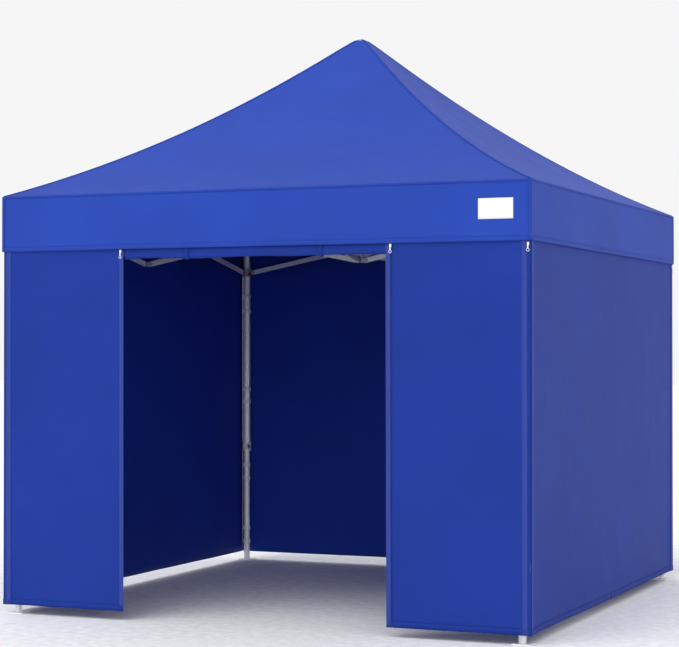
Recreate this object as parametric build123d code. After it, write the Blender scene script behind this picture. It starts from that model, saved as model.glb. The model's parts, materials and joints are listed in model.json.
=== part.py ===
"""A 3 m pop-up canopy with side walls: scissor frame, telescopic legs, roof cover and four walls.

Millimetres, +Z up, front wall towards -Y, origin on the ground under the middle of the shelter.
The frame repeats four times about +Z, so every frame piece is made for the front side and turned.
Side k runs front, right, back, left; its leg stands at the side's right-hand end seen from outside.
"""
import os
from math import cos, hypot, radians, sin, sqrt

from build123d import *

SIDES = ("front", "right", "back", "left")
LEGS = ("front_right", "back_right", "back_left", "front_left")

# Overall sizes
HALF = 1500.0  # outer face of the valance
EAVE_Z = 2267.0
PEAK_Z = 3280.0
ROOF_SAG = 97.0  # how far the roof hangs under the straight line from eave to peak
VALANCE_DROP = 301.0
COVER_THICK = 2.5
ROOF_BANDS = tuple(HALF * i / 5 for i in range(6))  # edges of the roof's bands, out from the middle
WALL_FACE = 1496.5  # outer face of a side wall
WALL_THICK = 2.0
WALL_LOW_Z = 50.0
WALL_TOP_Z = 2150.0
PANEL_GAP = 0.5  # between cloth panels that meet
DOOR_HALF = 760.0
DOOR_TOP_Z = 1990.0
ROLL_LOW_Z = 1912.0
ROLL_TOP_Z = 1988.0
ROLL_DEEP = 30.0

# Scissor frame
PITCH = 1386.0  # pivot to pivot along a bar
REST_ANGLE = 11.15  # bar angle above level when the frame is open
LOW_Z = 1957.0  # lower row of pivots
TOP_Z = LOW_Z + PITCH * sin(radians(REST_ANGLE))
REACH = PITCH * cos(radians(REST_ANGLE))
LEG_OFFSET = 46.0  # leg centre to pivot
MID_OFFSET = 28.2  # middle bracket centre to its perimeter pivots
HUB_OFFSET = 34.0  # hub centre to pivot
INNER_OFFSET = LEG_OFFSET + MID_OFFSET - HUB_OFFSET  # middle bracket centre to its inner pivot
LEG_AT = REACH + LEG_OFFSET + MID_OFFSET  # leg centre from the middle, along X and Y

BAR_HEIGHT = 28.0
BAR_WIDTH = 14.0
BAR_WALL = 1.4
PLANE = 8.5  # each bar of a crossing pair runs this far to one side of the pair's plane
BOLT_RADIUS = 4.0
BOLT_HOLE_RADIUS = 4.4
BOLT_HEAD_RADIUS = 7.0
BOLT_HEAD = 3.0
CHEEK_THICK = 3.0
CHEEK_GAP = 15.0  # between the two cheeks of a fork
CHEEK_RADIUS = 12.0

# Legs
LEG_FLATS = 40.0
LEG_WALL = 1.5
LEG_LOW_Z = 770.0
LEG_TOP_Z = 2255.0
INNER_FLATS = 34.5
INNER_TOP_Z = 1355.0
CAP_RADIUS = 26.0
SLIDER_RADIUS = 30.0
SLIDER_BORE = 24.0
SLIDER_HALF = 30.0
COLLAR_RADIUS = 29.0
COLLAR_BORE = 20.6
COLLAR_LOW_Z = 740.0
COLLAR_TOP_Z = 802.0
FOOT_SIZE = 94.0
FOOT_THICK = 5.0
STAKE_HOLE_RADIUS = 5.5
STAKE_HOLE_AT = 34.0

# Centre mast
MAST_RADIUS = 12.7
MAST_BORE = 11.2
MAST_LOW_Z = 1975.0
ROD_RADIUS = 10.8
ROD_TOP_Z = 3015.0
MAST_TOP_Z = 3235.0
HUB_RADIUS = 18.0
HUB_BORE = 13.3
HUB_HALF = 14.0
MAST_CAP_RADIUS = 24.0
MAST_CAP_THICK = 14.0


def save(node, *solids):
    """Write one node from its solids."""
    shape = solids[0] if len(solids) == 1 else Compound(children=list(solids))
    export_step(shape, f"parts/{node}.step")


def turned(shape, side):
    """The front side's piece, turned to another side."""
    return Rot(0, 0, 90 * side) * shape


def box(x0, x1, y0, y1, z0, z1):
    """A box between two corners."""
    return Pos((x0 + x1) / 2, (y0 + y1) / 2, (z0 + z1) / 2) * Box(x1 - x0, y1 - y0, z1 - z0)


def rod(radius, start, end):
    """A round rod from one point to another."""
    start, end = Vector(*start), Vector(*end)
    plane = Plane(origin=start, z_dir=end - start)
    return plane * Cylinder(radius, (end - start).length, align=(Align.CENTER, Align.CENTER, Align.MIN))


def hexagon(flats, z0, z1):
    """A hexagonal prism about Z, with two of its flats across X."""
    return Pos(0, 0, z0) * extrude(RegularPolygon(flats / 2, 6, major_radius=False, rotation=30), z1 - z0)


def bar(bolted):
    """A drilled tube along +X from its first pivot at the origin. bolted adds the middle bolt, towards -Y."""
    outline = Pos(PITCH / 2, 0) * SlotCenterToCenter(PITCH, BAR_HEIGHT)
    tube = extrude(Plane.XZ * outline, BAR_WIDTH / 2, both=True)
    inside = Pos(PITCH / 2, 0, 0) * Box(
        PITCH + 2 * BAR_HEIGHT, BAR_WIDTH - 2 * BAR_WALL, BAR_HEIGHT - 2 * BAR_WALL
    )
    tube -= inside
    for x in (0, PITCH) if bolted else (0, PITCH / 2, PITCH):
        tube -= rod(BOLT_HOLE_RADIUS, (x, -BAR_WIDTH, 0), (x, BAR_WIDTH, 0))
    if bolted:
        middle, near, far = PITCH / 2, BAR_WIDTH / 2, -2 * PLANE - BAR_WIDTH / 2
        tube += rod(BOLT_RADIUS, (middle, near + BOLT_HEAD, 0), (middle, far - BOLT_HEAD, 0))
        tube += rod(BOLT_HEAD_RADIUS, (middle, near, 0), (middle, near + BOLT_HEAD, 0))
        tube += rod(BOLT_HEAD_RADIUS, (middle, far - 0.4, 0), (middle, far - BOLT_HEAD, 0))
    return tube


def fork(root, reach, z):
    """Two cheeks and a bolt for one bar, reaching out along +X from x = root to the pivot at x = reach."""
    pair = None
    for side in (-1, 1):
        inner = side * CHEEK_GAP / 2
        outer = inner + side * CHEEK_THICK
        low, high = min(inner, outer), max(inner, outer)
        cheek = box(root, reach, low, high, z - CHEEK_RADIUS, z + CHEEK_RADIUS)
        cheek += rod(CHEEK_RADIUS, (reach, low, z), (reach, high, z))
        pair = cheek if pair is None else pair + cheek
    reach_y = CHEEK_GAP / 2 + CHEEK_THICK + BOLT_HEAD
    return pair + rod(BOLT_RADIUS, (reach, -reach_y, z), (reach, reach_y, z))


def perimeter_bars():
    """The front side's four perimeter bars: high and low, on the a (left) and b (right) halves."""
    made = {}
    start = MID_OFFSET
    tilt = Rot(0, -REST_ANGLE, 0)
    high_b = Pos(start, -LEG_AT + PLANE, LOW_Z) * tilt * bar(True)
    low_b = Pos(start, -LEG_AT - PLANE, TOP_Z) * Rot(0, REST_ANGLE, 0) * bar(False)
    made["high_b"], made["low_b"] = high_b, low_b
    made["high_a"] = mirror(high_b, Plane.YZ)
    made["low_a"] = mirror(low_b, Plane.YZ)
    return made


def inner_bars():
    """The front side's two inner bars, between the hub and the middle brackets."""
    outward = Rot(0, 0, -90)
    down = Pos(PLANE, -HUB_OFFSET, TOP_Z) * outward * Rot(0, REST_ANGLE, 0) * bar(True)
    up = Pos(-PLANE, -HUB_OFFSET, LOW_Z) * outward * Rot(0, -REST_ANGLE, 0) * bar(False)
    return {"down": down, "up": up}


def middle_bracket(z, plane):
    """A bracket at the middle of the front side: two perimeter forks and one inner fork."""
    bars_y = -LEG_AT + plane
    half = CHEEK_GAP / 2 + CHEEK_THICK
    block = box(-8, 8, min(bars_y - half, -LEG_AT), -LEG_AT + 24, z - CHEEK_RADIUS, z + CHEEK_RADIUS)
    right = Pos(0, bars_y, 0) * fork(0, MID_OFFSET, z)
    inner = Pos(plane, -LEG_AT, 0) * Rot(0, 0, 90) * fork(18, INNER_OFFSET, z)
    low, high = min(-8, plane - half), max(8, plane + half)
    web = box(low, high, -LEG_AT + 17, -LEG_AT + 24, z - CHEEK_RADIUS, z + CHEEK_RADIUS)
    return block + right + mirror(right, Plane.YZ) + inner + web


def hub(z, plane, bore):
    """A centre hub with four forks."""
    made = Pos(0, 0, z) * Cylinder(HUB_RADIUS, 2 * HUB_HALF)
    for side in range(4):
        made += turned(Pos(plane, 0, 0) * Rot(0, 0, -90) * fork(6, HUB_OFFSET, z), side)
    return made - Pos(0, 0, z) * Cylinder(bore, 4 * HUB_HALF)


def corner_forks(z, plane, root):
    """The two forks of a leg's bracket, seen from a leg at the origin: towards -X and towards +Y."""
    first = Pos(0, plane, 0) * Rot(0, 0, 180) * fork(root, LEG_OFFSET, z)
    second = Pos(-plane, 0, 0) * Rot(0, 0, 90) * fork(root, LEG_OFFSET, z)
    return first + second


def inward(shape):
    """Turn a piece made along +X to point at the middle of the shelter, from the front right leg."""
    return Rot(0, 0, 135) * shape


def leg():
    """Outer leg tube with its top bracket and the adjuster collar."""
    tube = hexagon(LEG_FLATS, LEG_LOW_Z, LEG_TOP_Z)
    cap = Pos(0, 0, TOP_Z) * Cylinder(CAP_RADIUS, 40)
    collar_mid = (COLLAR_LOW_Z + COLLAR_TOP_Z) / 2
    collar = Pos(0, 0, collar_mid) * Cylinder(COLLAR_RADIUS, COLLAR_TOP_Z - COLLAR_LOW_Z)
    boss = inward(box(18, 36, -13, 13, collar_mid - 18, collar_mid + 18))
    pocket = inward(box(24, 40, -7.5, 7.5, collar_mid - 12.5, collar_mid + 12.5))
    made = tube + cap + collar + boss + corner_forks(TOP_Z, PLANE, 18)
    made -= hexagon(LEG_FLATS - 2 * LEG_WALL, LEG_LOW_Z, TOP_Z - 16)
    made -= Pos(0, 0, LEG_LOW_Z) * Cylinder(COLLAR_BORE, 2 * (LEG_LOW_Z - COLLAR_LOW_Z) + 2)
    return made - pocket


def inner_leg():
    """Inner leg tube and the foot plate that it is welded to."""
    tube = hexagon(INNER_FLATS, FOOT_THICK, INNER_TOP_Z)
    tube -= hexagon(INNER_FLATS - 2 * LEG_WALL, FOOT_THICK, INNER_TOP_Z)
    plate = extrude(RectangleRounded(FOOT_SIZE, FOOT_SIZE, 12), FOOT_THICK)
    for x in (-STAKE_HOLE_AT, STAKE_HOLE_AT):
        plate -= Pos(x, x, 0) * Cylinder(STAKE_HOLE_RADIUS, 4 * FOOT_THICK)
    return plate, tube


def slider():
    """Sleeve that runs on the outer leg, with its two forks and the boss of its pull pin."""
    made = Pos(0, 0, LOW_Z) * Cylinder(SLIDER_RADIUS, 2 * SLIDER_HALF) + corner_forks(LOW_Z, -PLANE, 20)
    made += inward(rod(11, (24, 0, LOW_Z - 12), (44, 0, LOW_Z - 12)))
    made -= Pos(0, 0, LOW_Z) * Cylinder(SLIDER_BORE, 4 * SLIDER_HALF)
    return made - inward(rod(4.3, (20, 0, LOW_Z - 12), (50, 0, LOW_Z - 12)))


def slider_pin():
    """Spring pull pin of a slider."""
    z = LOW_Z - 12
    pin = rod(4, (25, 0, z), (46, 0, z)) + rod(10, (44.5, 0, z), (60, 0, z))
    return inward(pin)


def height_button():
    """Thumb button in the adjuster collar."""
    z = (COLLAR_LOW_Z + COLLAR_TOP_Z) / 2
    return inward(box(30, 41, -7, 7, z - 12, z + 12))


def at_leg(shape):
    """From a leg at the origin to the front right leg."""
    return Pos(LEG_AT, -LEG_AT, 0) * shape


def lower_hub():
    """The lower hub carries the rod that the mast telescopes over."""
    return hub(LOW_Z, -PLANE, 4) + rod(ROD_RADIUS, (0, 0, LOW_Z - HUB_HALF), (0, 0, ROD_TOP_Z))


def mast():
    """Centre mast: a tube that slides through the upper hub, with the cap that holds up the roof."""
    tube = rod(MAST_RADIUS, (0, 0, MAST_LOW_Z), (0, 0, MAST_TOP_Z))
    tube -= rod(MAST_BORE, (0, 0, MAST_LOW_Z), (0, 0, MAST_TOP_Z - 4))
    return tube + rod(MAST_CAP_RADIUS, (0, 0, MAST_TOP_Z), (0, 0, MAST_TOP_Z + MAST_CAP_THICK))


def roof_z(s, drop=0.0):
    """Height of the roof's hollow curve at a distance s from the middle: a circle hung from peak to eave."""
    middle_z = (EAVE_Z + PEAK_Z) / 2 - ROOF_SAG
    fall, near_fall = PEAK_Z - EAVE_Z, PEAK_Z - middle_z
    # The circle through the peak, the middle and the eave, with the peak as its origin
    a, b = HALF / 2, -near_fall
    c, d = HALF, -fall
    twice_area = 2 * (a * d - b * c)
    centre_s = (d * (a * a + b * b) - b * (c * c + d * d)) / twice_area
    centre_z = (a * (c * c + d * d) - c * (a * a + b * b)) / twice_area
    radius = hypot(centre_s, centre_z)
    return PEAK_Z + centre_z - sqrt(radius**2 - (s - centre_s) ** 2) - drop


def trapezoid(near, far):
    """The front side's share of a square ring, as a flat face; a triangle where near is 0."""
    corners = [(-far, -far), (far, -far)] + ([(near, -near), (-near, -near)] if near else [(0, 0)])
    return make_face(Polyline(*corners, close=True))


def roof_band(near, far):
    """One band of the front roof panel."""
    stations = (near, (near + far) / 2, far)
    upper = ThreePointArc(*[(s, roof_z(s)) for s in stations])
    lower = ThreePointArc(*[(s, roof_z(s, COVER_THICK)) for s in stations])
    ends = [Line((s, roof_z(s)), (s, roof_z(s, COVER_THICK))) for s in (near, far)]
    profile = Plane(origin=(0, 0, 0), x_dir=(0, -1, 0), z_dir=(-1, 0, 0)) * make_face([upper, lower, *ends])
    return extrude(profile, far, both=True) & extrude(trapezoid(near, far), PEAK_Z, both=True)


def canopy_top():
    """The cover, side by side: bands of roof and a valance on each, all meeting face to face."""
    panels = [roof_band(near, far) for near, far in zip(ROOF_BANDS, ROOF_BANDS[1:])]
    drop = VALANCE_DROP - COVER_THICK
    ring = extrude(trapezoid(HALF - COVER_THICK, HALF), drop / 2, both=True)
    panels.append(Pos(0, 0, EAVE_Z - VALANCE_DROP + drop / 2) * ring)
    return [turned(panel, k) for k in range(4) for panel in panels]


def wall_panel(x0, x1, low_z=WALL_LOW_Z):
    """A flat piece of wall in the front side's place."""
    return box(x0, x1, -WALL_FACE, -WALL_FACE + WALL_THICK, low_z, WALL_TOP_Z)


def front_wall():
    """The two panels beside the door and the header over it."""
    left = wall_panel(-WALL_FACE, -DOOR_HALF)
    right = wall_panel(DOOR_HALF, WALL_FACE)
    header = wall_panel(-DOOR_HALF + PANEL_GAP, DOOR_HALF - PANEL_GAP, DOOR_TOP_Z)
    return left, right, header


def rolled_door():
    """The door panel, rolled up and tied inside the wall over its opening."""
    near, far = -WALL_FACE + WALL_THICK + PANEL_GAP, -WALL_FACE + WALL_THICK + ROLL_DEEP
    roll = box(-DOOR_HALF, DOOR_HALF, near, far, ROLL_LOW_Z, ROLL_TOP_Z)
    return fillet(roll.edges().filter_by(Axis.X), ROLL_DEEP / 2 - 2)


os.makedirs("parts", exist_ok=True)
bars = perimeter_bars()
inner = inner_bars()
for k, (side_name, leg_name) in enumerate(zip(SIDES, LEGS)):
    for which, shape in bars.items():
        save(f"{side_name}_bar_{which}", turned(shape, k))
    for which, shape in inner.items():
        save(f"{side_name}_inner_bar_{which}", turned(shape, k))
    save(f"{side_name}_bracket_low", turned(middle_bracket(LOW_Z, PLANE), k))
    save(f"{side_name}_bracket_top", turned(middle_bracket(TOP_Z, -PLANE), k))
    save(f"{leg_name}_leg", turned(at_leg(leg()), k))
    save(f"{leg_name}_inner_leg", *[turned(at_leg(solid), k) for solid in inner_leg()])
    save(f"{leg_name}_slider", turned(at_leg(slider()), k))
    save(f"{leg_name}_slider_pin", turned(at_leg(slider_pin()), k))
    save(f"{leg_name}_height_button", turned(at_leg(height_button()), k))
    if k:
        wall_half = WALL_FACE if k == 2 else WALL_FACE - WALL_THICK - PANEL_GAP
        save(f"{side_name}_wall", turned(wall_panel(-wall_half, wall_half), k))
save("front_wall", *front_wall(), rolled_door())
save("centre_top_hub", hub(TOP_Z, PLANE, HUB_BORE))
save("centre_bottom_hub", lower_hub())
save("centre_mast", mast())
save("canopy_top", *canopy_top())
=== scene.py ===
"""Pop-up canopy: cloth roof, walls and rolled-up door over the scissor frame. Metres, front towards -Y."""
import json
from math import cos, pi, radians, sin, sqrt

import bmesh
import bpy
from mathutils import Euler, Matrix, Vector, noise

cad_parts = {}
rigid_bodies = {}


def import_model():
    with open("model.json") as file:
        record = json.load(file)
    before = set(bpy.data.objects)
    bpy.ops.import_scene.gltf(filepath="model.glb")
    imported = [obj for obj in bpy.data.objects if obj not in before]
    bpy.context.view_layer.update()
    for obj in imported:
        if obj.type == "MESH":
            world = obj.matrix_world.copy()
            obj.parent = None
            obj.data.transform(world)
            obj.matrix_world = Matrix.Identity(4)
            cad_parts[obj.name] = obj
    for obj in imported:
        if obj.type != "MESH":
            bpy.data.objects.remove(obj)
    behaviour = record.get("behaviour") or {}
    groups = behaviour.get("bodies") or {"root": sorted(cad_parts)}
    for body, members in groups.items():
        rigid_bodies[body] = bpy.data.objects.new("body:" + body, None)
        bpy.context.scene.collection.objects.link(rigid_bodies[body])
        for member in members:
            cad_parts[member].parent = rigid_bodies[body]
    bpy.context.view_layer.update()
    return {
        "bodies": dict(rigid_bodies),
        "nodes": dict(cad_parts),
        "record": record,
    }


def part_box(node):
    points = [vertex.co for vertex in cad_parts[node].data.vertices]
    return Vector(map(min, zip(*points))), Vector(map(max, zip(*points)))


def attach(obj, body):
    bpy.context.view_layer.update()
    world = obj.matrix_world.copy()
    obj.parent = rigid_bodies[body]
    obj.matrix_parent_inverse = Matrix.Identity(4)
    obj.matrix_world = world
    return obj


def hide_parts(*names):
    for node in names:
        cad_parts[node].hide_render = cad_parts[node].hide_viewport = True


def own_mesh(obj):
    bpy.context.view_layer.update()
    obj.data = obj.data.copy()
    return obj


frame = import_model()

SIDES = ("front", "right", "back", "left")
LEGS = ("front_right", "back_right", "back_left", "front_left")
ROOT = "upper_hub"

# Sizes read from the frame
ROOF_LOW, ROOF_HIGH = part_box("canopy_top")
WALL_LOW, WALL_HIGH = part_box("front_wall")
HALF = ROOF_HIGH[0]
PEAK_Z = ROOF_HIGH[2]
VALANCE_Z = ROOF_LOW[2]
VALANCE_DROP = 0.301
EAVE_Z = VALANCE_Z + VALANCE_DROP
ROOF_SAG = 0.097
WALL_FACE = -WALL_LOW[1]
WALL_Z, WALL_TOP = WALL_LOW[2], WALL_HIGH[2]
DOOR_HALF = 0.76
DOOR_TOP = 1.99
ROLL_Z = 1.95
MAST_TRAVEL = 0.99  # how far the mast comes down as the frame folds

# Cloth and tapes
CLOTH_THICK = 0.0012
SEWN_OFF = 0.0018  # a seam tape stands this far off the valance
HIP_OFF = 0.0022  # a hip or corner tape stands this far off the cover
PATCH_OFF = 0.0024
TAPE_HALF = 0.0125  # half the width of a strap or tie
WALL_REST = 0.0012  # least gap between a wall's face and its straight plane
ROLL_IN = 0.0185  # roll's middle, in from the wall's face
LIGHT_THROUGH_CLOTH = 0.22
LOW_STRAP_Z = 0.81  # straps under this height are on the inner leg


# ---------- materials ----------
class Shade:
    """A node material being built, with short names for its nodes and links."""

    def __init__(self, name):
        self.material = bpy.data.materials.new(name)
        self.material.use_nodes = True
        self.tree = self.material.node_tree
        self.bsdf = self.tree.nodes["Principled BSDF"]
        self.place = self.add("ShaderNodeTexCoord").outputs["Object"]

    def add(self, kind, **settings):
        node = self.tree.nodes.new(kind)
        for key, value in settings.items():
            if hasattr(node, key):
                setattr(node, key, value)
            else:
                node.inputs[key.replace("_", " ")].default_value = value
        return node

    def link(self, a, b):
        self.tree.links.new(a, b)

    def noise(self, scale, detail=3.0, stretch=None):
        node = self.add("ShaderNodeTexNoise", Scale=scale, Detail=detail)
        source = self.place
        if stretch:
            mapping = self.add("ShaderNodeMapping")
            mapping.inputs["Scale"].default_value = stretch
            self.link(source, mapping.inputs["Vector"])
            source = mapping.outputs["Vector"]
        self.link(source, node.inputs["Vector"])
        return node.outputs["Fac"]

    def ramp(self, factor, stops, to):
        node = self.add("ShaderNodeValToRGB")
        ends = node.color_ramp.elements
        for element, (at, colour) in zip(ends, stops):
            element.position = at
            element.color = (*colour, 1)
        self.link(factor, node.inputs["Fac"])
        self.link(node.outputs["Color"], self.bsdf.inputs[to])

    def levels(self, factor, low, high, to):
        node = self.add("ShaderNodeMapRange")
        node.inputs["To Min"].default_value = low
        node.inputs["To Max"].default_value = high
        self.link(factor, node.inputs["Value"])
        self.link(node.outputs["Result"], self.bsdf.inputs[to])

    def bump(self, heights):
        """heights is [(socket, strength, distance)], from coarse to fine."""
        normal = None
        for socket, strength, distance in heights:
            node = self.add("ShaderNodeBump")
            node.inputs["Strength"].default_value = strength
            node.inputs["Distance"].default_value = distance
            self.link(socket, node.inputs["Height"])
            if normal:
                self.link(normal, node.inputs["Normal"])
            normal = node.outputs["Normal"]
        self.link(normal, self.bsdf.inputs["Normal"])


def shades(colour, spread):
    """A darker and a lighter tone around a colour."""
    darker = tuple(c * (1 - spread) for c in colour)
    lighter = tuple(min(1, c * (1 + spread)) for c in colour)
    return [(0.3, darker), (0.7, lighter)]


def weave(shade, threads):
    """Crossed threads in all three directions, so that it shows on any panel."""
    total = None
    for axis in ("X", "Y", "Z"):
        wave = shade.add("ShaderNodeTexWave", bands_direction=axis, Scale=threads, Distortion=0.4)
        shade.link(shade.place, wave.inputs["Vector"])
        if total is None:
            total = wave.outputs["Fac"]
            continue
        join = shade.add("ShaderNodeMath", operation="ADD")
        shade.link(total, join.inputs[0])
        shade.link(wave.outputs["Fac"], join.inputs[1])
        total = join.outputs["Value"]
    return total


def fabric(name, colour, roughness=0.68):
    """Coated polyester: fine weave, soft handling creases, a faint sheen and some light through it."""
    s = Shade(name)
    s.ramp(s.noise(2.2, 5), shades(colour, 0.07), "Base Color")
    s.levels(s.noise(9, 4), roughness - 0.07, roughness + 0.07, "Roughness")
    s.bump([
        (s.noise(3.2, 4, (1, 1, 0.55)), 0.35, 0.012),
        (s.noise(14, 3), 0.22, 0.003),
        (weave(s, 300), 0.25, 0.0002),
    ])
    glow = s.add("ShaderNodeBsdfTranslucent")
    glow.inputs["Color"].default_value = (*(min(1, 1.6 * c) for c in colour), 1)
    mix = s.add("ShaderNodeMixShader")
    mix.inputs["Fac"].default_value = LIGHT_THROUGH_CLOTH
    s.link(s.bsdf.outputs["BSDF"], mix.inputs[1])
    s.link(glow.outputs["BSDF"], mix.inputs[2])
    s.link(mix.outputs["Shader"], s.tree.nodes["Material Output"].inputs["Surface"])
    s.bsdf.inputs["Sheen Weight"].default_value = 0.05
    s.bsdf.inputs["Sheen Roughness"].default_value = 0.4
    s.bsdf.inputs["Specular IOR Level"].default_value = 0.22
    return s.material


def hammered(name, colour):
    """Hammered silver-white powder coat on steel."""
    s = Shade(name)
    s.ramp(s.noise(60, 4), shades(colour, 0.06), "Base Color")
    cells = s.add("ShaderNodeTexVoronoi", Scale=260.0, feature="SMOOTH_F1")
    s.link(s.place, cells.inputs["Vector"])
    s.levels(s.noise(25, 3), 0.28, 0.45, "Roughness")
    s.bump([(cells.outputs["Distance"], 0.5, 0.0012), (s.noise(700, 2), 0.2, 0.0003)])
    s.bsdf.inputs["Metallic"].default_value = 0.12
    return s.material


def moulded(name, colour, roughness=0.5):
    """Glass-filled nylon with a fine moulded grain and scuffed tone."""
    s = Shade(name)
    s.ramp(s.noise(18, 5), shades(colour, 0.1), "Base Color")
    s.levels(s.noise(40, 3), roughness - 0.1, roughness + 0.1, "Roughness")
    s.bump([(s.noise(30, 3), 0.15, 0.002), (s.noise(1400, 2), 0.35, 0.0002)])
    return s.material


def zinc(name, colour):
    """Plated steel with light brushing and darker spots."""
    s = Shade(name)
    s.ramp(s.noise(45, 5), shades(colour, 0.14), "Base Color")
    s.levels(s.noise(30, 3, (1, 1, 14)), 0.25, 0.42, "Roughness")
    s.bump([(s.noise(90, 4, (1, 1, 10)), 0.2, 0.0004)])
    s.bsdf.inputs["Metallic"].default_value = 0.9
    return s.material


def webbing(name, colour):
    """Woven tape with a visible rib."""
    s = Shade(name)
    s.ramp(s.noise(25, 4), shades(colour, 0.05), "Base Color")
    s.levels(s.noise(60, 3), 0.7, 0.85, "Roughness")
    s.bump([(weave(s, 120), 0.5, 0.0006)])
    return s.material


ROOF_CLOTH = fabric("roof_polyester", (0.019, 0.066, 0.45))
WALL_CLOTH = fabric("wall_polyester", (0.009, 0.040, 0.33))
SEAM_CLOTH = fabric("seam_tape", (0.018, 0.062, 0.43), 0.72)
SEAM_WALL = fabric("wall_seam_tape", (0.0085, 0.037, 0.305), 0.72)
COAT = hammered("silver_powder_coat", (0.80, 0.81, 0.83))
NYLON = moulded("grey_nylon", (0.42, 0.43, 0.45))
BUTTON = moulded("button_nylon", (0.09, 0.09, 0.1), 0.35)
PULL = moulded("pull_pin_nylon", (0.35, 0.03, 0.03), 0.4)
ZINC = zinc("zinc_plate", (0.62, 0.62, 0.63))
WHITE_TAPE = webbing("white_hook_tape", (0.82, 0.83, 0.85))
WHITE_PLASTIC = moulded("white_zip_plastic", (0.85, 0.85, 0.86), 0.35)
ZIP_TAPE = webbing("blue_zip_tape", (0.014, 0.04, 0.3))
ZIP_TEETH = moulded("blue_zip_teeth", (0.01, 0.03, 0.24), 0.35)
GROUND = moulded("studio_floor", (0.88, 0.88, 0.89), 0.75)


# ---------- mesh helpers ----------
def turned(k):
    return Matrix.Rotation(k * pi / 2, 4, "Z")


def piece(name, points, faces, material, body, smooth=True):
    """One named mesh piece on a body."""
    mesh = bpy.data.meshes.new(name)
    mesh.from_pydata([tuple(p) for p in points], [], faces)
    mesh.validate()
    obj = bpy.data.objects.new(name, mesh)
    bpy.context.scene.collection.objects.link(obj)
    mesh.materials.append(material)
    for face in mesh.polygons:
        face.use_smooth = smooth
    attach(obj, body)
    return obj


def grid_faces(columns, rows, closed=False):
    """Faces of a grid whose points are listed row by row."""
    faces = []
    for r in range(rows - 1):
        for c in range(columns if closed else columns - 1):
            n = (c + 1) % columns
            faces.append((r * columns + c, r * columns + n, (r + 1) * columns + n, (r + 1) * columns + c))
    return faces


def thicken(obj, thickness, offset=-1.0):
    solid = obj.modifiers.new("cloth_thickness", "SOLIDIFY")
    solid.thickness = thickness
    solid.offset = offset


def soften(obj, width):
    bevel = obj.modifiers.new("soft_edges", "BEVEL")
    bevel.width = width
    bevel.segments = 3
    bevel.limit_method = "ANGLE"


def block(name, low, high, radius, material, slot, body, turn):
    """A rounded block between two corners."""
    points = [(x, y, z) for z in (low[2], high[2]) for y in (low[1], high[1]) for x in (low[0], high[0])]
    faces = [(0, 2, 3, 1), (4, 5, 7, 6), (0, 1, 5, 4), (2, 6, 7, 3), (0, 4, 6, 2), (1, 3, 7, 5)]
    obj = piece(name, [turn @ Vector(p) for p in points], faces, material, body)
    soften(obj, radius)
    return obj


def ring(name, centre, radius, wire, material, slot, body, turn):
    """A torus around Y, with its centre and two radii."""
    around, across = 28, 10
    points = []
    for r in range(around):
        a = 2 * pi * r / around
        for c in range(across):
            b = 2 * pi * c / across
            out = radius + wire * cos(b)
            points.append(turn @ (Vector(centre) + Vector((out * cos(a), wire * sin(b), out * sin(a)))))
    faces = []
    for r in range(around):
        for c in range(across):
            n, m = (r + 1) % around, (c + 1) % across
            faces.append((r * across + c, n * across + c, n * across + m, r * across + m))
    return piece(name, points, faces, material, body)


def soft(p, scale, seed=0.0):
    """Smooth noise from -1 to 1 at a place."""
    return noise.noise(Vector(p) * scale + Vector((seed, seed * 1.7, seed * 0.3)))


# ---------- roof cover, which follows the legs and the mast ----------
def follow_frame(obj):
    """Hooks carry each point with the legs, by its place across, and with the mast, by its height."""
    places = [v.co.copy() for v in obj.data.vertices]
    weights = {}
    for leg, (sx, sy) in zip(LEGS, ((1, -1), (1, 1), (-1, 1), (-1, -1))):
        weights[f"{leg}_leg"] = [(1 + sx * p.x / HALF) * (1 + sy * p.y / HALF) / 4 for p in places]
    folded_top = EAVE_Z + 0.01  # the roof comes down to this height over the folded frame
    weights["mast"] = [(p.z - folded_top) / MAST_TRAVEL for p in places]
    first = [m.name for m in obj.modifiers]
    for body, values in weights.items():
        group = obj.vertex_groups.new(name=f"with_{body}")
        for i, w in enumerate(values):
            group.add([i], min(1.0, max(0.0, w)), "REPLACE")
        hook = obj.modifiers.new(f"hook_{body}", "HOOK")
        hook.object = frame["bodies"][body]
        hook.vertex_group = group.name
        hook.falloff_type = "NONE"
        hook.matrix_inverse = Matrix.Identity(4)
    for name in first:
        obj.modifiers.move(obj.modifiers.find(name), len(obj.modifiers) - 1)


def roof_height(s):
    """Height of the roof at a distance from the middle, along the way straight to the eave."""
    rounding = 0.0007  # rounds the peak over the mast's cap
    share = sqrt(s * s + rounding) / HALF
    return PEAK_Z + (EAVE_Z - PEAK_Z) * share - 4 * ROOF_SAG * share * (1 - share)


def roof_point(k, u, s):
    """A point of the roof: side k, u across the side from -1 to 1, s out from the middle."""
    across = 1 - u * u
    flat = turned(k) @ Vector((u * s, -s, 0))
    fade = sin(pi * min(1.0, s / HALF)) * across
    dip = 0.010 * fade
    waves = 0.006 * soft((flat.x, flat.y, 0), 2.3, 3) + 0.0025 * soft((flat.x, flat.y, 0), 8, 5)
    return Vector((flat.x, flat.y, roof_height(s) - dip + fade * waves))


def valance_point(k, u, t, out=0.0):
    """A point of the valance: t is 0 at the eave and 1 at the hem."""
    across = 1 - abs(u) ** 6
    wave = 0.0045 * soft((u * 3.1, k * 7, t * 0.6), 1.4, 9) + 0.002 * sin(9 * u + k)
    inwards = -(0.0035 + 0.6 * wave) * across * t - out
    sag = 0.002 * across * soft((u * 2, k * 3, 0), 1.2, 2)
    return turned(k) @ Vector((u * HALF, -HALF + inwards, EAVE_Z - VALANCE_DROP * t + sag * t))


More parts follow.
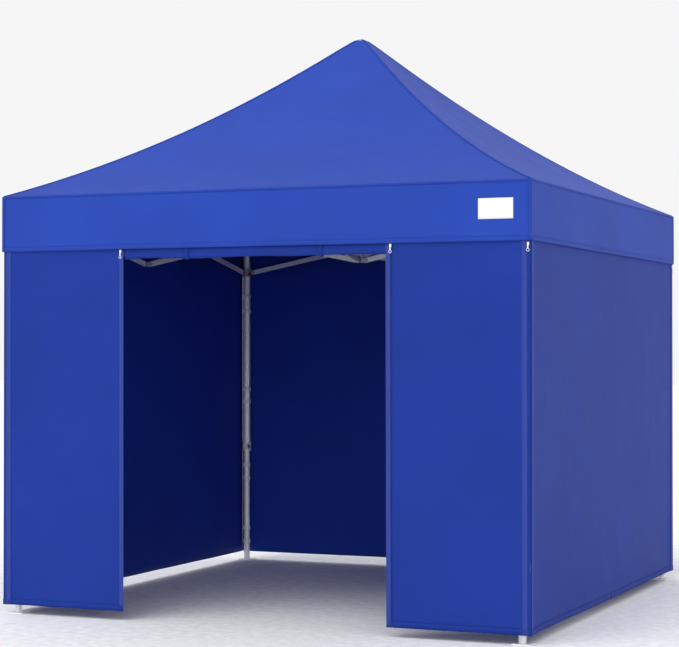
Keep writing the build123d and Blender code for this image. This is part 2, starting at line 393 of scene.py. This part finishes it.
def roof():
    """The whole cover, roof and valances, as one sheet."""
    per_side, rings, drops = 44, 46, 10
    columns = 4 * per_side
    places = [(k, -1 + 2 * j / per_side) for k in range(4) for j in range(per_side)]
    points = []
    for i in range(1, rings + 1):
        points += [roof_point(k, u, HALF * (i / rings) ** 1.15) for k, u in places]
    for d in range(1, drops + 1):
        points += [valance_point(k, u, d / drops) for k, u in places]
    faces = grid_faces(columns, rings + drops, closed=True)
    points.append(Vector((0, 0, roof_height(0))))
    faces += [(c, len(points) - 1, (c + 1) % columns)[::-1] for c in range(columns)]
    obj = piece("roof_cover", points, [f[::-1] for f in faces], ROOF_CLOTH, ROOT)
    sharpen(obj, 24)
    thicken(obj, CLOTH_THICK)
    follow_frame(obj)
    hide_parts("canopy_top")
    return obj


def sharpen(obj, degrees):
    """Marks the edges that bend by more than this as sharp."""
    bm = bmesh.new()
    bm.from_mesh(obj.data)
    for edge in bm.edges:
        if len(edge.link_faces) == 2 and edge.calc_face_angle(0) > radians(degrees):
            edge.smooth = False
    bm.to_mesh(obj.data)
    bm.free()


def band(name, place, count, widths):
    """A seam tape on the cover: place(i, w) gives its points, for i along and w across."""
    points = [place(i, w) for w in widths for i in range(count)]
    obj = piece(name, points, grid_faces(count, len(widths)), SEAM_CLOTH, ROOT)
    thicken(obj, CLOTH_THICK, 0.0)
    follow_frame(obj)
    return obj


def roof_trim():
    """Seam tapes along the hem, eave, hips and corners of the cover."""
    made = []
    steps, corner_steps = 60, 14

    def level(i, w):
        return valance_point(k, -1 + 2 * i / (steps - 1), w, SEWN_OFF)

    def hip(i, w):
        s = 0.03 + (HALF - 0.032) * i / (steps - 1)
        on_next = w > 0
        p = roof_point((k + 1) % 4, -1 + w / s, s) if on_next else roof_point(k, 1 + w / s, s)
        return p + Vector((0, 0, HIP_OFF))

    def corner(i, w):
        z = EAVE_Z - 0.004 - (VALANCE_DROP - 0.006) * i / (corner_steps - 1)
        off = (w, 0, 0) if w < 0 else (0, w, 0)
        return turned(k) @ (Vector((HALF + HIP_OFF, -HALF - HIP_OFF, z)) + Vector(off))

    for k, (side, leg) in enumerate(zip(SIDES, LEGS)):
        made.append(band(f"{side}_valance_hem", level, steps, (0.925, 0.95, 0.975, 1.0)))
        made.append(band(f"{side}_eave_seam", level, steps, (0.004, 0.02, 0.04)))
        made.append(band(f"{leg}_hip_seam", hip, steps, (-0.012, -0.006, 0.0, 0.006, 0.012)))
        made.append(band(f"{leg}_valance_seam", corner, corner_steps, (-0.016, -0.008, 0.0, 0.008, 0.016)))
    return made


def blank_patch():
    """A plain white patch sewn on the front valance near the right corner."""
    left, width, top, bottom = 0.82, 0.12, 0.30, 0.64
    columns, rows = 16, 9
    across = [left + width * c / (columns - 1) for c in range(columns)]
    points = []
    for r in range(rows):
        down = top + (bottom - top) * r / (rows - 1)
        points += [valance_point(0, u, down, PATCH_OFF) for u in across]
    obj = piece("front_valance_patch", points, grid_faces(columns, rows), WHITE_TAPE, ROOT)
    thicken(obj, CLOTH_THICK, 0.0)
    follow_frame(obj)
    return obj


# ---------- walls ----------
def wall_point(k, x, z, out=0.0):
    """A point of a wall, x along it and z up, which hangs with soft upright folds that deepen to its foot."""
    fall = (WALL_TOP - z) / (WALL_TOP - WALL_Z)
    ends = min(1.0, (WALL_FACE - abs(x)) / 0.08)
    folds = 0.5 + 0.5 * soft((x * 1.9, k * 5, z * 0.35), 1.3, 4)
    fine = 0.5 + 0.5 * soft((x + 0.6 * z, k * 3, z * 0.7), 3.4, 8)
    inwards = ends * fall * (0.011 * folds + 0.006 * fine) + WALL_REST
    return turned(k) @ Vector((x, -WALL_FACE + inwards - out, z))


def wall_grid(k, x0, x1, z0, z1, columns, rows, out=0.0):
    """A wall's points between two upright edges and two heights, row by row."""
    return [wall_point(k, x0 + (x1 - x0) * c / (columns - 1), z0 + (z1 - z0) * r / (rows - 1), out)
            for r in range(rows) for c in range(columns)]


def wall_panel(name, k, x0, x1, z0, z1):
    """A sheet of wall cloth that hangs from the side's upper middle bracket."""
    columns, rows = max(6, int((x1 - x0) / 0.03)), max(4, int((z1 - z0) / 0.04))
    body = f"{SIDES[k]}_bracket_top"
    points = wall_grid(k, x0, x1, z0, z1, columns, rows)
    obj = piece(name, points, grid_faces(columns, rows), WALL_CLOTH, body)
    thicken(obj, CLOTH_THICK)
    hang(obj)
    return obj


def hang(obj):
    """Applies the piece's modifiers and gives it a mesh of its own."""
    bake(obj)
    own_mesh(obj)


def bake(obj):
    """Applies an object's modifiers to its mesh."""
    bpy.context.view_layer.update()
    evaluated = obj.evaluated_get(bpy.context.evaluated_depsgraph_get())
    mesh = bpy.data.meshes.new_from_object(evaluated)
    obj.modifiers.clear()
    obj.data = mesh


def strip(name, k, x0, x1, z0, z1, material, out=0.0015):
    """A flat tape sewn on a wall."""
    columns, rows = max(3, int((x1 - x0) / 0.03)), max(3, int((z1 - z0) / 0.04))
    points = wall_grid(k, x0, x1, z0, z1, columns, rows, out)
    obj = piece(name, points, grid_faces(columns, rows), material, f"{SIDES[k]}_bracket_top")
    thicken(obj, CLOTH_THICK, 0.0)
    hang(obj)


def wall_tapes(k, edge):
    """Foot hems on both halves of a wall and the zip tapes up its two corners."""
    door_edge = DOOR_HALF if k == 0 else 0.0
    for name, x0, x1 in (("left", -edge, -door_edge), ("right", door_edge, edge)):
        strip(f"{SIDES[k]}_wall_{name}_hem", k, x0, x1, WALL_Z, WALL_Z + 0.03, SEAM_WALL)
    for name, at in (("left", -edge + 0.03), ("right", edge - 0.03)):
        strip(f"{SIDES[k]}_wall_{name}_corner_tape", k, at - 0.015, at + 0.015, WALL_Z, WALL_TOP, ZIP_TAPE)


def door_zips():
    """A tape with a row of teeth up each side of the doorway."""
    for name, at in (("left", -DOOR_HALF), ("right", DOOR_HALF)):
        strip(f"door_{name}_zip_tape", 0, at - 0.02, at + 0.006, WALL_Z, DOOR_TOP, ZIP_TAPE)
        x0, x1 = (at, at + 0.006) if name == "left" else (at - 0.006, at)
        strip(f"door_{name}_zip_teeth", 0, x0, x1, WALL_Z, DOOR_TOP, ZIP_TEETH, 0.002)


def walls():
    """Three whole walls, and the front one as two panels with a header over the doorway."""
    edge = WALL_FACE - 0.003
    left = wall_panel("front_wall_left", 0, -edge, -DOOR_HALF, WALL_Z, WALL_TOP)
    right = wall_panel("front_wall_right", 0, DOOR_HALF, edge, WALL_Z, WALL_TOP)
    head = wall_panel("front_wall_header", 0, -DOOR_HALF + 0.001, DOOR_HALF - 0.001, DOOR_TOP, WALL_TOP)
    for obj in (left, right, head):
        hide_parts("front_wall")
    for k in (1, 2, 3):
        whole = wall_panel(f"{SIDES[k]}_wall_sheet", k, -edge, edge, WALL_Z, WALL_TOP)
        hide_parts(f"{SIDES[k]}_wall")
    for k in range(4):
        wall_tapes(k, edge)
    door_zips()


def rolled_door():
    """The door panel, rolled up inside the header: a slack spiral roll that droops between its ties."""
    along, around, layers = 120, 44, 3.2
    points = []
    for c in range(along):
        x = -DOOR_HALF + 0.006 + (2 * DOOR_HALF - 0.012) * c / (along - 1)
        from_tie = 1 - abs(cos(pi * x / DOOR_HALF)) ** 0.5
        droop = 0.006 * from_tie + 0.003 * soft((x, 0, 0), 5, 1)
        end = max(0.0, abs(x) / DOOR_HALF - 0.86) / 0.14
        for r in range(around):
            a = 2 * pi * r / around
            broad = soft((x * 2.2, cos(a), sin(a)), 2.4, 6)
            small = soft((x * 9, cos(a) * 2, sin(a) * 2), 2, 3)
            groove = 1 - 0.06 * max(0, sin(layers * a)) ** 4
            size = (1 + 0.10 * broad + 0.05 * small) * groove
            y = -WALL_FACE + ROLL_IN + 0.0125 * size * cos(a)
            points.append((x, y, ROLL_Z - droop + (0.034 + 0.003 * end) * size * sin(a)))
    faces = [f[::-1] for f in grid_faces(around, along, closed=True)]
    faces += [tuple(range(around)), tuple(reversed(range((along - 1) * around, along * around)))]
    obj = piece("rolled_door", points, faces, WALL_CLOTH, "front_bracket_top")
    hang(obj)
    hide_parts("front_wall")
    for n, x in enumerate((-0.38, 0.38)):
        tie_band(f"door_tie_{n + 1}", x)


def tie_band(name, x):
    """A tape loop that holds the roll up."""
    around, widths = 36, (-TAPE_HALF, 0.0, TAPE_HALF)
    points = []
    for w in widths:
        for r in range(around):
            a = 2 * pi * r / around
            points.append((x + w, -WALL_FACE + ROLL_IN + 0.0165 * cos(a), ROLL_Z + 0.042 * sin(a)))
    faces = grid_faces(around, len(widths), closed=True)
    obj = piece(name, points, faces, SEAM_WALL, "front_bracket_top")
    thicken(obj, 0.001, 0.0)
    hang(obj)


def zip_pull(name, k, x, z):
    """A white slider with its tab and ring."""
    y = -WALL_FACE - 0.004
    body = f"{SIDES[k]}_bracket_top"
    place = {"material": WHITE_PLASTIC, "slot": "wall_fabric", "body": body, "turn": turned(k)}
    slider_low, slider_high = (x - 0.005, y - 0.004, z - 0.008), (x + 0.005, y + 0.002, z + 0.008)
    tab_low, tab_high = (x - 0.003, y - 0.0065, z - 0.024), (x + 0.003, y - 0.0035, z - 0.007)
    slider = block(f"{name}_slider", slider_low, slider_high, radius=0.0015, **place)
    tab = block(f"{name}_tab", tab_low, tab_high, radius=0.001, **place)
    loop = ring(f"{name}_ring", (x, y - 0.005, z - 0.030), 0.007, 0.0013, **place)
    for obj in (slider, tab, loop):
        hang(obj)


# ---------- leg straps ----------
def leg_centre(leg):
    """The leg's axis at ground height, from its foot plate."""
    low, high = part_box(f"{leg}_inner_leg")
    return Vector(((low[0] + high[0]) / 2, (low[1] + high[1]) / 2, 0))


def strap(name, centre, radius, z, seed, body):
    """One hook-and-loop tape round a leg."""
    around, widths = 36, (-TAPE_HALF, -0.004, 0.004, TAPE_HALF)
    points = []
    for w in widths:
        for r in range(around):
            a = 2 * pi * r / around
            out = radius * (1 + 0.03 * cos(6 * a) + 0.02 * soft((*seed, a), 2, 1))
            points.append(centre + Vector((out * cos(a), out * sin(a), z + w)))
    faces = grid_faces(around, len(widths), closed=True)
    thicken(piece(name, points, faces, WHITE_TAPE, body), 0.0016, 1.0)


def leg_straps():
    """Pairs of white tapes that tie the walls to the legs."""
    heights = ((1.795, 1.694), (1.160, 1.075), (0.644, 0.555), (0.216, 0.127))
    for k, leg in enumerate(LEGS):
        for pair, zs in enumerate(heights):
            for n, z in enumerate(zs):
                body, radius = (f"{leg}_leg", 0.0255) if z > LOW_STRAP_Z else (f"{leg}_inner_leg", 0.0222)
                strap(f"{leg}_strap_{pair + 1}{'ab'[n]}", leg_centre(leg), radius, z, (k, n), body)


# ---------- hardware details on the frame ----------
def disc(name, centre, axis, radius, depth, material, body, sides=24):
    """A domed round head: a plug, a screw head or a cap."""
    axis = Vector(axis).normalized()
    across = axis.orthogonal().normalized()
    other = axis.cross(across)
    profile = ((0.0, 1.0), (0.55, 1.0), (0.82, 0.9), (0.95, 0.7), (1.0, 0.4), (1.0, 0.0))
    points, rows = [], len(profile)
    for r, h in profile[1:]:
        for i in range(sides):
            a = 2 * pi * i / sides
            points.append(Vector(centre) + axis * depth * h + radius * r * (across * cos(a) + other * sin(a)))
    faces = [f[::-1] for f in grid_faces(sides, rows - 1, closed=True)]
    points.append(Vector(centre) + axis * depth)
    top = len(points) - 1
    faces += [(i, (i + 1) % sides, top) for i in range(sides)]
    faces.append(tuple(reversed(range((rows - 2) * sides, (rows - 1) * sides))))
    return piece(name, points, faces, material, body)


def hardware():
    """A plug in each leg's top, two screws in each collar and a cap on each pull pin."""
    for k, leg in enumerate(LEGS):
        body, centre = f"{leg}_leg", leg_centre(leg)
        top = centre + Vector((0, 0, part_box(body)[1][2]))
        disc(f"{leg}_cap_plug", top, (0, 0, 1), 0.022, 0.006, NYLON, body)
        for n, way in enumerate(((1, 0, 0), (0, -1, 0))):
            out = turned(k) @ Vector(way)
            place = centre + out * 0.0285 + Vector((0, 0, 0.785))
            disc(f"{leg}_collar_screw_{n + 1}", place, out, 0.005, 0.003, ZINC, body, 16)
        pin = f"{leg}_slider_pin"
        pin_z = sum(corner[2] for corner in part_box(pin)) / 2
        inward = turned(k) @ Vector((-1, 1, 0)).normalized()
        place = centre + inward * 0.0595 + Vector((0, 0, pin_z))
        disc(f"{leg}_pin_cap", place, inward, 0.009, 0.004, PULL, pin)


def cad_finishes():
    """Gives the CAD nodes that stay in view their materials."""
    finishes = {"grey_nylon": NYLON, "button_nylon": BUTTON, "pull_pin": PULL, "silver_powder_coat": COAT}
    slots = {row["node"]: row["material_slot"] for row in frame["record"]["subparts"]}
    for name, obj in frame["nodes"].items():
        material = finishes.get(slots[name])
        if material:
            for place in obj.material_slots:
                place.material = material


# ---------- stage ----------
def stage():
    """A pale floor, a white sky and two broad suns."""
    mesh = bpy.data.meshes.new("floor")
    reach = 60.0
    corners = [(-reach, -reach, 0), (reach, -reach, 0), (reach, reach, 0), (-reach, reach, 0)]
    mesh.from_pydata(corners, [], [(0, 1, 2, 3)])
    floor = bpy.data.objects.new("studio_floor", mesh)
    mesh.materials.append(GROUND)
    bpy.context.scene.collection.objects.link(floor)
    world = bpy.data.worlds.new("studio")
    world.use_nodes = True
    background = world.node_tree.nodes["Background"]
    background.inputs["Color"].default_value = (1, 1, 1, 1)
    background.inputs["Strength"].default_value = 0.92
    bpy.context.scene.world = world
    for name, place, power in (("key", (-2.0, -5.0, 8.0), 0.95), ("fill", (4.3, -10.4, 2.2), 0.75)):
        light = bpy.data.lights.new(name, "SUN")
        light.energy, light.angle = power, radians(40)
        lamp = bpy.data.objects.new(name, light)
        lamp.rotation_euler = (-Vector(place)).to_track_quat("-Z", "Y").to_euler()
        bpy.context.scene.collection.objects.link(lamp)
    bpy.context.scene.view_settings.view_transform = "Standard"


def camera():
    """The camera stands right of the front, 1.45 m up, and looks slightly up at the shelter."""
    data = bpy.data.cameras.new("camera")
    data.lens, data.sensor_width = 102.08, 36.0
    obj = bpy.data.objects.new("camera", data)
    obj.location = (4.2714, -10.4459, 1.4498)
    turn_left, look_up = 0.39971, 0.01209
    obj.rotation_euler = Euler((pi / 2 + look_up, 0, turn_left), "XYZ")
    bpy.context.scene.collection.objects.link(obj)
    bpy.context.scene.camera = obj


camera()
stage()
cad_finishes()
cover = roof()
trim = roof_trim() + [blank_patch()]
walls()
rolled_door()
zip_pull("door_left_zip", 0, -DOOR_HALF - 0.008, 1.955)
zip_pull("door_right_zip", 0, DOOR_HALF + 0.008, 1.955)
zip_pull("front_corner_zip", 0, WALL_FACE - 0.012, 1.95)
zip_pull("right_corner_zip", 1, WALL_FACE - 0.03, 1.95)
leg_straps()
hardware()
